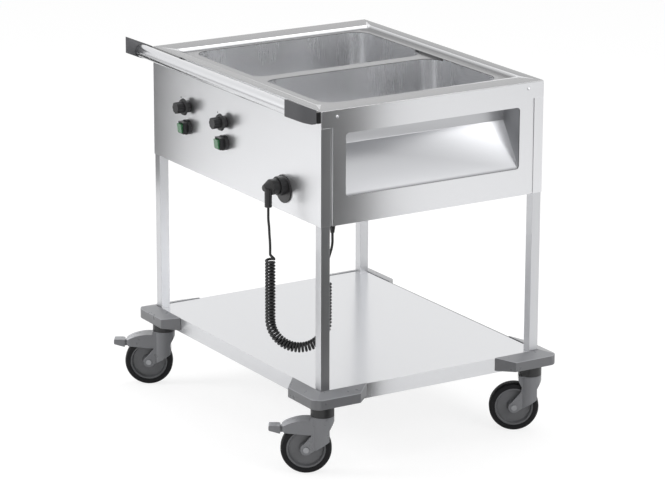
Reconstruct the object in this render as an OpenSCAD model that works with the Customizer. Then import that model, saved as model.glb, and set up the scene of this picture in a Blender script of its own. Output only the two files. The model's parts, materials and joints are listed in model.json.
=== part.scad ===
// Heated hostess trolley with two food wells, a push handle and a lower shelf.
// The origin is on the floor, under the middle of the whole trolley. The handle side faces -Y.

/* [Casing] */
// Distance from a well to the casing's short side, which sets the casing's length
end_margin = 88; // [84:1:110]
// Distance from a well to the casing's long side, which sets the casing's width
side_margin = 66; // [62:1:90]
// Height of the top deck over the floor
deck_h = 905; // [880:1:960]
// Height of the casing
casing_h = 284; // [270:1:320]
// Thickness of the sheet steel
sheet_t = 1.5; // [1:0.1:1.8]
// Height of the band over the posts on the end panels
band_h = 42; // [30:1:55]
// Width that the long panels fold round the corners
corner_return = 27; // [26.8:0.1:32]
// Width of the groove between a corner and its end panel
groove_w = 6; // [3:0.5:9]

/* [Wells] */
// Clear length of a food well along Y
well_l = 508; // [490:1:520]
// Clear width of a food well along X
well_w = 306; // [290:1:308]
// Depth of a food well under the inner deck
well_depth = 200; // [150:1:205]
// Corner radius of a food well
well_r = 45; // [25:1:60]
// Width of the bar between the wells
divider_w = 38; // [30:1:42]
// How far the bar lies under the inner deck
divider_drop = 5; // [3:0.5:8]
// Flat border of the deck at its short sides
border_x = 64.5; // [50:0.5:70]
// Flat border of the deck at its long sides
border_y = 29; // [22:0.5:34]
// Depth of the pressed step inside the border
step_drop = 7; // [4:0.5:10]
// Width of the slope of that step
step_run = 8; // [4:0.5:12]

/* [Side recess] */
// Distance from the end panel's edge to the recess opening
recess_margin = 36.5; // [27:0.5:62]
// Height of the recess opening
recess_h = 156; // [130:1:165]
// Distance from the deck to the recess opening
recess_below_deck = 60; // [54:1:70]
// Depth of the recess at its top
recess_depth = 72; // [60:1:82]
// Height of the upright part of the recess's back
recess_back_h = 46; // [36:1:70]
// Corner radius of the recess opening
recess_r = 9; // [5:1:14]

/* [Legs and shelf] */
// Width of a square leg
leg_w = 25; // [22:0.5:25]
// Wall of a leg
leg_wall = 1.5; // [1.2:0.1:2]
// Height of the shelf over the floor
shelf_h = 210; // [205:1:260]
// Height of the rim that the shelf folds down
shelf_rim = 38; // [32:1:44]
// How far the corner bumpers stand proud of the casing
bumper_out = 37; // [28:1:45]
// Length of a bumper's outer face from the casing corner
bumper_arm = 92; // [70:1:120]
// Radius of a bumper's outer corner
bumper_r = 24; // [12:1:27]

/* [Handle] */
// Outside diameter of the handle tube
handle_d = 33; // [28:0.5:33]
// Distance from the casing to the tube's axis
handle_out = 45; // [43:1:50]
// How far the tube's axis lies under the deck
handle_drop = 2; // [0:0.5:4]
// Reach of a handle bracket from the casing
bracket_reach = 89; // [80:1:95]
// Height of a bracket's tip over the deck
bracket_rise = 39; // [35:1:45]
// Thickness of a handle bracket
bracket_t = 20; // [18:1:26]
// Height of the black strip behind a bracket
strip_h = 28; // [24:1:34]
// Length of that strip along the casing
strip_l = 150; // [110:1:170]
// Thickness of that strip
strip_t = 12; // [8:1:13]

/* [Controls] */
// Distance from the middle to the left knob's axis
knob_left_x = 230; // [220:1:260]
// Distance between the two knobs
knob_pitch = 187; // [150:1:200]
// Distance from the deck to the knobs' axes
knob_drop = 120; // [100:1:130]
// Skirt diameter of a knob
knob_d = 44; // [38:1:48]
// Grip diameter of a knob
grip_d = 29; // [25:1:32]
// Diameter of a knob's hub, behind its skirt
knob_hub_d = 31; // [27:1:34]
// How far a knob stands out from the casing
knob_out = 38; // [33:1:42]
// Distance from a knob's axis to the switch under it
switch_drop = 53; // [50:1:65]
// Diameter of the round foot of a switch housing
switch_foot_d = 39; // [38.5:0.5:42]
// Width of a switch housing
switch_w = 27; // [26.5:0.5:28]
// Height of a switch housing
switch_h = 30; // [29:0.5:31]
// How far a switch housing stands out
switch_out = 22; // [20:1:26]

/* [Mains lead] */
// Diameter of the parking socket
park_d = 70; // [62:1:74]
// Distance from the middle to the parking socket
park_x = 242; // [220:1:260]
// Distance from the deck to the parking socket
park_drop = 226; // [210:1:235]
// Diameter of the plug's round body
plug_d = 39; // [34:1:41]
// Diameter of the cord
cord_d = 6.3; // [5.5:0.1:6.3]
// Outer diameter of the curly part
curl_d = 26; // [22:0.5:27]
// Number of curls
curl_count = 58; // [40:1:58]

/* [Casters] */
// Diameter of a caster wheel
wheel_d = 125; // [115:1:127]
// Width of a tyre
tyre_w = 32; // [26:1:34]
// Radial thickness of a tyre
tyre_t = 14; // [10:1:18]
// Distance from the swivel axis to the axle
trail = 39.5; // [36:0.5:44]
// Diameter of the swivel head
swivel_d = 58; // [54:1:64]
// Diameter of an axle
axle_d = 10; // [8:0.5:12]
// Turn at which the casters stand
rest_turn = -122; // [-180:1:180]

/* [Hidden] */

// The casing's middle, seen from the middle of the whole trolley
casing_x = 15;
casing_y = 34;

// Facets of full circles, and of the children of a hull
round_fn = 64;
hull_fn = 32;
// Overrun of every cut
over = 1;
// Clearance between pieces that move past each other
gap = 0.3;
// Radial running fit of a shaft in its bore
fit = 0.05;

// The two wells, the bar between them and the margins make the casing
wells_l = 2 * well_w + divider_w;
casing_l = wells_l + 2 * end_margin;
casing_w = well_l + 2 * side_margin;
half_l = casing_l / 2;
half_w = casing_w / 2;
floor_z = deck_h - casing_h;
leg_x = half_l - sheet_t - leg_w / 2;
leg_y = half_w - sheet_t - leg_w / 2;
rim_z = shelf_h - shelf_rim;
under_deck_z = deck_h - sheet_t;
inner_deck_z = deck_h - step_drop;
divider_z = inner_deck_z - divider_drop;
band_z = deck_h - band_h;
end_panel_w = casing_w - 2 * (corner_return + groove_w);
recess_l = end_panel_w - 2 * recess_margin;
flange_w = 15;

// Colours
steel = "silver";
satin = "gainsboro";
grey_plastic = "dimgray";
black_plastic = "#202224";
rubber_black = "#2a2a2a";

// Everything below is drawn from the casing's middle
module at_casing() {
    translate([casing_x, casing_y, 0]) children();
}

// Plate with round corners
module round_plate(x, y, r, h, fn = round_fn) {
    linear_extrude(h) {
        square([x - 2 * r, y], center = true);
        square([x, y - 2 * r], center = true);
        for (sx = [-1, 1], sy = [-1, 1]) translate([sx * (x / 2 - r), sy * (y / 2 - r)])
            circle(r, $fn = fn);
    }
}

module box_at(low, high) {
    translate(low) cube(high - low);
}

// Cylinder along +Y from the origin
module rod_y(d, l, sides = round_fn) {
    rotate([-90, 0, 0]) cylinder(d = d, h = l, $fn = sides);
}

// Legs

module leg(sx, sy) {
    leg_h = under_deck_z - rim_z;
    inner = leg_w - 2 * leg_wall;
    color(steel) translate([sx * leg_x, sy * leg_y, rim_z]) difference() {
        translate([-leg_w / 2, -leg_w / 2, 0]) cube([leg_w, leg_w, leg_h]);
        translate([-inner / 2, -inner / 2, -over]) cube([inner, inner, leg_h + 2 * over]);
    }
}
module leg_front_left() at_casing() leg(-1, -1);
module leg_front_right() at_casing() leg(1, -1);
module leg_rear_left() at_casing() leg(-1, 1);
module leg_rear_right() at_casing() leg(1, 1);

// Deck

step_l = casing_l - 2 * border_x;
step_w = casing_w - 2 * border_y;
inner_l = step_l - 2 * step_run;
inner_w = step_w - 2 * step_run;
step_r = 14;
deck_r = 4;

// The pressed pan of the deck, from a level under its floor to its rim
module pressed_pan(grow, low_z, high_z) {
    hull() {
        translate([0, 0, high_z])
            round_plate(step_l + 2 * grow, step_w + 2 * grow, step_r, sheet_t, hull_fn);
        translate([0, 0, low_z])
            round_plate(inner_l + 2 * grow, inner_w + 2 * grow, step_r, sheet_t, hull_fn);
    }
}
module top_deck() at_casing() color(steel) difference() {
    union() {
        translate([0, 0, under_deck_z]) round_plate(casing_l, casing_w, deck_r, sheet_t);
        pressed_pan(sheet_t, inner_deck_z - sheet_t, under_deck_z);
    }
    pressed_pan(0, inner_deck_z, deck_h);
    translate([0, 0, inner_deck_z - sheet_t - over])
        round_plate(wells_l, well_l, well_r, sheet_t + step_drop);
}

// Wells and what heats them

well_floor_z = inner_deck_z - well_depth;
well_x = (well_w + divider_w) / 2;
well_chamfer = 18;
rim_w = 12;
flare_w = divider_w + 2 * well_r;

// Solid of a well's inside, grown by the wall
module well_solid(grow, top_z) {
    low_z = well_floor_z + well_chamfer;
    translate([0, 0, low_z])
        round_plate(well_w + 2 * grow, well_l + 2 * grow, well_r + grow, top_z - low_z);
    hull() {
        translate([0, 0, low_z])
            round_plate(well_w + 2 * grow, well_l + 2 * grow, well_r + grow, sheet_t, hull_fn);
        translate([0, 0, well_floor_z - grow]) round_plate(well_w - 2 * well_chamfer + 2 * grow,
            well_l - 2 * well_chamfer + 2 * grow, well_r - well_chamfer + grow, sheet_t, hull_fn);
    }
}
module well(side) {
    color(satin) translate([side * well_x, 0, 0]) difference() {
        union() {
            well_solid(sheet_t, divider_z - sheet_t);
            // The rim under the deck, on the three sides away from the bar
            difference() {
                translate([0, 0, inner_deck_z - 2 * sheet_t])
                    round_plate(well_w + 2 * rim_w, well_l + 2 * rim_w, well_r + rim_w, sheet_t);
                translate([-side * well_x - flare_w / 2, -well_l, 0])
                    cube([flare_w, 2 * well_l, deck_h]);
            }
            intersection() {
                translate([0, 0, divider_z - 2 * sheet_t])
                    round_plate(well_w + 2 * sheet_t, well_l + 2 * sheet_t, well_r + sheet_t,
                        inner_deck_z - sheet_t - divider_z + sheet_t);
                translate([-side * (well_w / 2 - well_r) - (side > 0 ? 0 : well_w), -well_l, 0])
                    cube([well_w, 2 * well_l, deck_h]);
            }
        }
        well_solid(0, deck_h);
    }
}
module well_left() at_casing() well(-1);
module well_right() at_casing() well(1);

// The lowered bar between the wells, flared where it meets their corners
module well_divider() at_casing() color(steel) {
    for (y = [-well_l / 2 - sheet_t, well_l / 2])
        translate([-flare_w / 2, y, divider_z - sheet_t])
            cube([flare_w, sheet_t, inner_deck_z - divider_z]);
    translate([0, 0, divider_z - sheet_t]) linear_extrude(sheet_t) difference() {
        square([flare_w, well_l + 2 * sheet_t], center = true);
        for (side = [-1, 1]) translate([side * well_x, 0]) {
            square([well_w, well_l - 2 * well_r], center = true);
            square([well_w - 2 * well_r, well_l], center = true);
            for (sy = [-1, 1]) translate([-side * (well_w / 2 - well_r), sy * (well_l / 2 - well_r)])
                circle(well_r, $fn = round_fn);
        }
    }
}

heater_bar = 8;
heater_runs = 5;
heater_margin = 60;
heater_pitch = (well_w - 2 * heater_margin) / (heater_runs - 1);
heater_run_l = well_l - 2 * heater_margin - heater_pitch;

// Flat serpentine heating element, held against the well's floor
module serpentine() {
    linear_extrude(heater_bar) {
        for (i = [0 : heater_runs - 1]) translate([(i - (heater_runs - 1) / 2) * heater_pitch, 0])
            square([heater_bar, heater_run_l], center = true);
        for (i = [0 : heater_runs - 2]) {
            up = i % 2 == 0 ? 1 : -1;
            bend_x = (i + 1 - heater_runs / 2) * heater_pitch;
            translate([bend_x, up * heater_run_l / 2]) difference() {
                circle(d = heater_pitch + heater_bar, $fn = round_fn);
                circle(d = heater_pitch - heater_bar, $fn = round_fn);
                translate([-heater_pitch, up > 0 ? -2 * heater_pitch : 0])
                    square([2 * heater_pitch, 2 * heater_pitch]);
            }
        }
    }
}
module heating_elements() at_casing() color("darkslategray") {
    for (side = [-1, 1])
        translate([side * well_x, 0, well_floor_z - sheet_t - heater_bar]) serpentine();
}

// Panels of the casing

knob_z = deck_h - knob_drop;
knob_xs = [-knob_left_x, -knob_left_x + knob_pitch];
switch_z = knob_z - switch_drop;
park_z = deck_h - park_drop;
bushing_d = 14;
switch_body_w = 22;
switch_body_h = 30;
park_body_d = 50;

module long_panel() {
    translate([-half_l, -half_w, floor_z]) cube([casing_l, sheet_t, under_deck_z - floor_z]);
    // folded round the corners and under the floor
    for (sx = [-1, 1]) translate([sx > 0 ? half_l - sheet_t : -half_l, -half_w, floor_z])
        cube([sheet_t, corner_return, band_z - floor_z]);
    flange_l = casing_l - 2 * (leg_w + 2 * sheet_t);
    translate([-flange_l / 2, -half_w, floor_z]) cube([flange_l, flange_w, sheet_t]);
}
module front_panel() at_casing() color(satin) difference() {
    long_panel();
    for (x = knob_xs) {
        translate([x, -half_w - over, knob_z]) rod_y(bushing_d + 2 * fit, flange_w);
        translate([x - switch_body_w / 2, -half_w - over, switch_z - switch_body_h / 2])
            cube([switch_body_w, flange_w, switch_body_h]);
    }
    translate([park_x, -half_w - over, park_z]) rod_y(park_body_d, sheet_t + 2 * over);
}
module rear_panel() at_casing() color(satin) mirror([0, 1, 0]) long_panel();

module end_panel() {
    translate([half_l - sheet_t, -half_w + sheet_t, band_z])
        cube([sheet_t, casing_w - 2 * sheet_t, under_deck_z - band_z]);
    translate([half_l - sheet_t, -end_panel_w / 2, floor_z])
        cube([sheet_t, end_panel_w, band_z - floor_z]);
    translate([half_l - flange_w, -end_panel_w / 2, floor_z])
        cube([flange_w, end_panel_w, sheet_t]);
    // Strips behind the grooves, from the panel's edges to the legs
    for (side = [0, 1]) mirror([0, side, 0])
        box_at([half_l - 2 * sheet_t, end_panel_w / 2 - groove_w, floor_z + 2 * sheet_t],
            [half_l - sheet_t, leg_y - leg_w / 2 - gap, band_z + groove_w]);
}
recess_top = deck_h - recess_below_deck;
recess_rim = 6;
screw_inset = 44.5;
screw_drop = 16.5;
screw_z = deck_h - screw_drop;
screw_d = 4;
screw_head_d = 8;
screw_head_h = 2.4;
screw_l = 10;
module screw_places() {
    for (sx = [-1, 1], sy = [-1, 1])
        translate([sx * half_l, sy * (half_w - screw_inset), screw_z])
            rotate([0, sx * 90, 0]) children();
}
module screw_holes() {
    screw_places() translate([0, 0, -sheet_t - over])
        cylinder(d = screw_d, h = sheet_t + 2 * over, $fn = hull_fn);
}
module left_panel() at_casing() color(satin) difference() {
    mirror([1, 0, 0]) end_panel();
    screw_holes();
}
module right_panel() at_casing() color(satin) difference() {
    end_panel();
    screw_holes();
    translate([half_l - sheet_t - over, 0, recess_top - recess_h / 2]) rotate([90, 0, 90])
        round_plate(recess_l, recess_h, recess_r, sheet_t + 2 * over);
}
module panel_screws() at_casing() color(steel) screw_places() {
    rotate_extrude($fn = round_fn) polygon([
        [0, -screw_l], [screw_d / 2, -screw_l], [screw_d / 2, 0], [screw_head_d / 2, 0],
        [screw_head_d / 2, screw_head_h / 2], [screw_head_d / 4, screw_head_h], [0, screw_head_h]
    ]);
}

// Profile of the recess in X and Z, its mouth at the casing's side
module recess_profile(grow) {
    polygon([
        [half_l, recess_top + grow], [half_l - recess_depth - grow, recess_top + grow],
        [half_l - recess_depth - grow, recess_top - recess_back_h],
        [half_l - sheet_t, recess_top - recess_h - 2 * grow], [half_l, recess_top - recess_h - 2 * grow]
    ]);
}
module side_recess() at_casing() color(satin) difference() {
    union() {
        translate([0, recess_l / 2 + sheet_t, 0]) rotate([90, 0, 0])
            linear_extrude(recess_l + 2 * sheet_t) recess_profile(sheet_t);
        // The rim that is welded behind the end panel
        box_at([half_l - 2 * sheet_t, -recess_l / 2 - recess_rim, recess_top - recess_h - recess_rim],
            [half_l - sheet_t, recess_l / 2 + recess_rim, recess_top + recess_rim]);
    }
    translate([0, recess_l / 2, 0]) rotate([90, 0, 0]) linear_extrude(recess_l) recess_profile(0);
    box_at([half_l - sheet_t, -half_w, 0], [half_l + over, half_w, deck_h]);
}

gland_from_end = 53;
gland_from_front = 65;
gland_x = half_l - gland_from_end;
gland_y = -half_w + gland_from_front;
gland_d = 20;
module casing_floor() at_casing() color(satin) difference() {
    inner_x = half_l - sheet_t;
    inner_y = half_w - sheet_t;
    translate([0, 0, floor_z + sheet_t]) linear_extrude(sheet_t) difference() {
        square([2 * inner_x, 2 * inner_y], center = true);
        for (sx = [-1, 1], sy = [-1, 1]) translate([sx * leg_x, sy * leg_y])
            square(leg_w, center = true);
        translate([gland_x, gland_y]) circle(d = gland_d, $fn = round_fn);
    }
}

// Handle

tube_y = -half_w - handle_out;
tube_z = deck_h - handle_drop;
tube_wall = 1.5;
socket_depth = 9;
strip_r = 3;
tube_l = casing_l - 2 * (bracket_t - socket_depth);

module handle_tube() at_casing() color(steel) translate([0, tube_y, tube_z]) rotate([0, 90, 0])
    difference() {
        cylinder(d = handle_d, h = tube_l, center = true, $fn = round_fn);
        cylinder(d = handle_d - 2 * tube_wall, h = tube_l + 2 * over, center = true, $fn = round_fn);
    }

// Side view of a bracket: reach from the casing, and height over the deck, as shares
bracket_side_shares = [
    [0.14, 0.14], [1, 1], [1, -0.08], [0.62, -0.46], [0.51, -0.56], [0.28, -0.72], [0.14, -0.72]
];
// Plan of a bracket: reach from the casing, and distance in from the casing's end, as shares
bracket_plan_shares = [
    [0.14, 0], [0.28, 0], [0.42, 0.04], [0.56, 0.14], [0.7, 0.31], [0.84, 0.56], [0.96, 0.82], [1, 0.92],
    [1, 1], [0.14, 1]
];
module handle_bracket() {
    difference() {
        intersection() {
            translate([half_l - bracket_t - over, -half_w, deck_h]) rotate([90, 0, 90])
                linear_extrude(bracket_t + 2 * over)
                    polygon([for (p = bracket_side_shares) [-p[0] * bracket_reach, p[1] * bracket_rise]]);
            translate([half_l, -half_w, deck_h - bracket_rise]) linear_extrude(2 * bracket_rise + over)
                polygon([for (p = bracket_plan_shares) [-p[1] * bracket_t, -p[0] * bracket_reach]]);
        }
        translate([tube_l / 2, tube_y, tube_z]) rotate([0, -90, 0])
            cylinder(d = handle_d + 2 * fit, h = bracket_t, $fn = round_fn);
    }
}
module handle_bracket_right() at_casing() color(grey_plastic) handle_bracket();
module handle_bracket_left() at_casing() color(grey_plastic) mirror([1, 0, 0]) handle_bracket();

module bracket_strips() at_casing() color(black_plastic) {
    for (side = [-1, 1]) translate([side * (half_l - strip_l / 2), -half_w, deck_h - strip_h]) {
        translate([-strip_l / 2, -strip_t + strip_r, 0]) cube([strip_l, strip_t - strip_r, strip_h]);
        translate([-strip_l / 2, -strip_t, strip_r]) cube([strip_l, strip_r, strip_h - 2 * strip_r]);
        for (z = [strip_r, strip_h - strip_r]) translate([-strip_l / 2, -strip_t + strip_r, z])
            rotate([0, 90, 0]) cylinder(r = strip_r, h = strip_l, $fn = round_fn);
    }
}

// Shelf and bumpers

shelf_lip = 12;
module lower_shelf() at_casing() color(steel) difference() {
    lip_x = half_l - shelf_lip;
    lip_y = half_w - shelf_lip;
    translate([0, 0, rim_z]) round_plate(casing_l, casing_w, deck_r, shelf_rim);
    translate([0, 0, rim_z + sheet_t]) round_plate(casing_l - 2 * sheet_t, casing_w - 2 * sheet_t,
        deck_r - sheet_t, shelf_rim - 2 * sheet_t);
    box_at([-lip_x, -lip_y, rim_z - over], [lip_x, lip_y, rim_z + 2 * sheet_t]);
    for (sx = [-1, 1], sy = [-1, 1])
        translate([sx * leg_x - leg_w / 2, sy * leg_y - leg_w / 2, rim_z - over])
            cube([leg_w, leg_w, shelf_rim + 2 * over]);
}

bumper_lift = 5;
bumper_z = rim_z + bumper_lift;
bumper_face_h = 25;
bumper_slope_h = 10;
bumper_wall = 3.5;
bumper_end_share = 1.08;

// Bumper of the corner at +X and +Y, drawn in by a wall
module bumper_shape(wall) {
    reach = bumper_out - wall;
    end = bumper_arm - wall;
    foot = bumper_arm + bumper_end_share * bumper_out - 2 * wall;
    r = bumper_r - wall;
    top = bumper_face_h + bumper_slope_h - wall;
    face = bumper_face_h - wall;
    side = casing_l;
    intersection() {
        linear_extrude(top) difference() {
            union() {
                polygon([
                    [reach - r, reach], [-end, reach], [-foot, wall], [-foot, -side], [wall, -side],
                    [wall, -foot], [reach, -end], [reach, reach - r]
                ]);
                translate([reach - r, reach - r]) circle(r, $fn = round_fn);
            }
            translate([-side + wall, -side + wall]) square(side);
        }
        // The slopes fall outward from the casing's faces
        rotate([90, 0, 0]) translate([0, 0, -side]) linear_extrude(2 * side)
            polygon([[reach, 0], [reach, face], [wall, top], [-side, top], [-side, 0]]);
        rotate([90, 0, 90]) translate([0, 0, -side]) linear_extrude(2 * side)
            polygon([[reach, 0], [reach, face], [wall, top], [-side, top], [-side, 0]]);
    }
}
module bumper(sx, sy) {
    color(grey_plastic) mirror([sx < 0 ? 1 : 0, 0, 0]) mirror([0, sy < 0 ? 1 : 0, 0])
        translate([half_l, half_w, bumper_z]) difference() {
            bumper_shape(0);
            translate([0, 0, -over]) bumper_shape(bumper_wall);
        }
}
module bumper_front_left() at_casing() bumper(-1, -1);
module bumper_front_right() at_casing() bumper(1, -1);
module bumper_rear_left() at_casing() bumper(-1, 1);
module bumper_rear_right() at_casing() bumper(1, 1);

// Controls

skirt_t = 5;
hub_l = 12;
off_panel = 1;
flute_d = 9;
flute_count = 8;
flute_depth = 1.2;
shaft_d = 6;
shaft_in_knob = 26;
shaft_behind = 12;
bushing_out = 0.6;
bushing_bore = shaft_d + 2 * fit;
regulator_w = 42;
regulator_t = 34;

// Axis along -Y, the panel's face at the origin
module knob() {
    color(black_plastic) rotate([90, 0, 0]) translate([0, 0, off_panel]) difference() {
        union() {
            cylinder(d = knob_hub_d, h = hub_l + skirt_t / 2, $fn = round_fn);
            translate([0, 0, hub_l]) cylinder(d1 = knob_d, d2 = knob_d - skirt_t, h = skirt_t, $fn = round_fn);
            translate([0, 0, hub_l + skirt_t / 4])
                linear_extrude(knob_out - off_panel - hub_l - skirt_t / 4) difference() {
                circle(d = grip_d, $fn = round_fn);
                for (i = [0 : flute_count - 1]) rotate((i + 0.5) * 360 / flute_count)
                    translate([grip_d / 2 + flute_d / 2 - flute_depth, 0]) circle(d = flute_d, $fn = round_fn);
            }
        }
        translate([0, 0, -over]) cylinder(d = shaft_d, h = shaft_in_knob + over, $fn = round_fn);
    }
    color(steel) rotate([90, 0, 0]) translate([0, 0, -sheet_t - shaft_behind])
        cylinder(d = shaft_d, h = sheet_t + shaft_behind + off_panel + shaft_in_knob, $fn = round_fn);
}
module at_knob(i) at_casing() translate([knob_xs[i], -half_w, knob_z]) children();
module knob_left() at_knob(0) knob();
module knob_right() at_knob(1) knob();

// Regulator with its threaded bushing through the panel
module regulator() {
    color("slategray") difference() {
        union() {
            translate([-regulator_w / 2, sheet_t, -regulator_w / 2])
                cube([regulator_w, regulator_t, regulator_w]);
            translate([0, -bushing_out, 0]) rod_y(bushing_d, bushing_out + sheet_t);
        }
        translate([0, -bushing_out - over, 0])
            rod_y(bushing_bore, over + bushing_out + sheet_t + shaft_behind + gap);
    }
}
module regulator_left() at_knob(0) regulator();
module regulator_right() at_knob(1) regulator();

rocker_w = 20;
rocker_h = 23;
rocker_proud = 5;
rocker_pin_d = 3;
rocker_pin_l = 1.6;
rocker_swing = 1;
switch_foot_t = 10;
switch_body_l = 24;
rocker_room = 12;
rocker_depth = 9;
rocker_tilt = 7;

// A block with a round foot; its body goes through the panel
module switch_housing() {
    color(black_plastic) difference() {
        union() {
            rotate([90, 0, 0]) cylinder(d = switch_foot_d, h = switch_foot_t, $fn = round_fn);
            translate([-switch_w / 2, -switch_out, -switch_h / 2]) cube([switch_w, switch_out, switch_h]);
            translate([-switch_body_w / 2, 0, -switch_body_h / 2])
                cube([switch_body_w, switch_body_l, switch_body_h]);
        }
        translate([-rocker_w / 2 - gap, -switch_out - over, -rocker_h / 2 - rocker_swing])
            cube([rocker_w + 2 * gap, rocker_room + over, rocker_h + 2 * rocker_swing]);
        translate([0, rocker_pin_y, 0]) rotate([0, 90, 0])
            cylinder(d = rocker_pin_d + 2 * fit, h = rocker_w + 2 * (rocker_pin_l + gap),
                center = true, $fn = hull_fn);
    }
}
rocker_pin_y = rocker_depth / 2 - switch_out;

// Drawn from its pin, its upper end out
module rocker() {
    color("seagreen") translate([0, rocker_pin_y, 0]) rotate([rocker_tilt, 0, 0]) {
        translate([-rocker_w / 2, -rocker_depth / 2 - rocker_proud, -rocker_h / 2])
            cube([rocker_w, rocker_depth + rocker_proud, rocker_h]);
        rotate([0, 90, 0])
            cylinder(d = rocker_pin_d, h = rocker_w + 2 * rocker_pin_l, center = true, $fn = hull_fn);
    }
}
module at_switch(i) at_casing() translate([knob_xs[i], -half_w, switch_z]) children();
module switch_housing_left() at_switch(0) switch_housing();
module switch_housing_right() at_switch(1) switch_housing();
module rocker_left() at_switch(0) rocker();
module rocker_right() at_switch(1) rocker();

// Mains lead

park_plate_t = 4;
park_ring_t = 20;
park_ring_wall = 4;
park_back_l = 30;
park_room_d = plug_d + 2 * gap;
park_floor_t = 2;
plug_head_out = 39;
plug_grip_t = 20;
plug_grip_d = 18;
plug_tip_d = 14;
plug_foot_x = 8;
plug_half_h = 37;
plug_lift = 9;
plug_pin_d = 4.8;
plug_pin_l = 19;

// The plug's pins, or their holes with some play and a lead before the pins' root
module plug_pins(play, lead) {
    for (side = [-1, 1]) translate([0, -lead, side * plug_pin_l / 2])
        rod_y(plug_pin_d + 2 * play, lead + plug_pin_l + play, hull_fn);
}
module at_park() at_casing() translate([park_x, -half_w, park_z]) children();
module parking_socket() at_park() color(black_plastic) difference() {
    rotate([90, 0, 0]) union() {
        cylinder(d = park_d, h = park_plate_t, $fn = round_fn);
        translate([0, plug_lift, 0])
            cylinder(d = park_room_d + 2 * park_ring_wall, h = park_ring_t, $fn = round_fn);
        translate([0, 0, -park_back_l]) cylinder(d = park_body_d, h = park_back_l, $fn = round_fn);
    }
    translate([0, -park_floor_t, plug_lift]) rotate([90, 0, 0])
        cylinder(d = park_room_d, h = park_ring_t, $fn = round_fn);
    translate([0, -park_floor_t, plug_lift]) plug_pins(gap, over);
}

// Right-angled plug: a round body in the socket with a coned end, and a grip with the cord at its foot
module mains_plug() at_park() color(black_plastic) {
    translate([0, -park_floor_t, plug_lift]) {
        rotate([90, 0, 0]) cylinder(d = plug_d, h = plug_head_out - park_floor_t, $fn = round_fn);
        plug_pins(0, 0);
    }
    translate([0, -plug_head_out, plug_lift]) rotate([90, 0, 0])
        cylinder(d1 = plug_d, d2 = plug_tip_d, h = (plug_grip_t + plug_grip_d) / 2, $fn = round_fn);
    translate([plug_foot_x, -plug_head_out - plug_grip_t / 2, -plug_half_h])
        cylinder(d = plug_grip_d, h = plug_half_h + plug_lift, $fn = round_fn);
}

// Straight stretches of the cord, in points chosen by hand: down from the plug, and up to the gland
upper_route = [
    [265, -335, 642], [265, -335, 627], [267, -336, 611], [272, -337, 594], [277, -339, 577],
    [281, -340, 561], [282, -340, 548], [282, -340, 535]
];
lower_route = [
    [367, -232, 482], [367, -232, 496], [368, -231, 512], [371, -227, 530], [374, -223, 548],
    [375, -221, 563], [375, -221, 576], [375, -221, 588]
];
cord_sides = 8;

function unit(v) = v / norm(v);
function along(p, i) = unit(p[min(i + 1, len(p) - 1)] - p[max(i - 1, 0)]);
// Ring square to the direction t, its first corner towards out
function ring(c, t, out, r, sides) =
    let (u = unit(out - (out * t) * t), v = cross(t, u))
    [for (k = [0 : sides - 1]) c + r * (cos(360 * k / sides) * u + sin(360 * k / sides) * v)];
// Closed skin of triangles over a row of rings
module skin(rings) {
    n = len(rings[0]);
    last = (len(rings) - 1) * n;
    faces = concat(
        [for (i = [0 : len(rings) - 2], k = [0 : n - 1]) let (a = i * n + k, b = i * n + (k + 1) % n)
            each [[a, b + n, b], [a, a + n, b + n]]],
        [for (k = [1 : n - 2]) each [[0, k, k + 1], [last, last + k + 1, last + k]]]
    );
    polyhedron(points = [for (r = rings) each r], faces = faces);
}
module cord_along(route) {
    skin([for (i = [0 : len(route) - 1])
        ring(route[i], along(route, i), [1, 0, 0], cord_d / 2, cord_sides)]);
}
module cord_upper() color(black_plastic) cord_along(upper_route);
module cord_lower() color(black_plastic) cord_along(lower_route);

// The curly part hangs from the upper cord, turns round and rises to the lower cord
curl_rings = 8;
curl_sides = 6;
curl_from = upper_route[len(upper_route) - 1];
curl_to = lower_route[0];
curl_plan = [curl_to.x - curl_from.x, curl_to.y - curl_from.y, 0];
curl_bend = norm(curl_plan) / 2;
curl_low_z = 364;
curl_down = curl_from.z - curl_low_z;
curl_up = curl_to.z - curl_low_z;
curl_path = curl_down + PI * curl_bend + curl_up;
curl_r = (curl_d - cord_d) / 2;
curl_across = unit(curl_plan);
curl_side = cross([0, 0, 1], curl_across);
curl_tail = cord_d + gap;
curl_lead = 2 * cord_d;
curl_turn = (curl_path - 2 * (curl_tail + curl_lead)) / curl_count;
curl_spin_end = curl_path - curl_tail - curl_lead;

// Middle of the curly part at a distance s along it, and the direction to the bend's own middle
function curl_angle(s) = 180 * max(0, min(1, (s - curl_down) / (PI * curl_bend)));
function curl_mid(s) =
    let (turn = curl_angle(s), c = curl_from + curl_across * curl_bend - [0, 0, curl_down])
    c - curl_bend * (cos(turn) * curl_across + [0, 0, sin(turn)])
        + [0, 0, max(0, curl_down - s) + max(0, s - curl_down - PI * curl_bend)];
function curl_out(s) = let (turn = curl_angle(s)) cos(turn) * curl_across + [0, 0, sin(turn)];
function ease(k) = k <= 0 ? 0 : k >= 1 ? 1 : k * k * (3 - 2 * k);
// The cord first steps out from the middle, and then winds
function curl_spoke(s) =
    let (spin = 360 * (min(s, curl_spin_end) - min(s, curl_tail + curl_lead)) / curl_turn)
    cos(spin) * curl_out(s) + sin(spin) * curl_side;
function curl_point(s) = curl_mid(s) + curl_r * curl_spoke(s)
    * ease((s - curl_tail) / curl_lead) * ease((curl_path - curl_tail - s) / curl_lead);
lead_shares = [0, 0.3, 0.55, 0.8];
lead_steps = [for (k = lead_shares) curl_tail + k * curl_lead];
curl_places = concat(
    [0], lead_steps,
    [for (i = [0 : curl_count * curl_rings]) curl_tail + curl_lead + i * curl_turn / curl_rings],
    [for (i = [len(lead_steps) - 1 : -1 : 0]) curl_path - lead_steps[i]], [curl_path]
);
curl_points = [for (s = curl_places) curl_point(s)];
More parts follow.
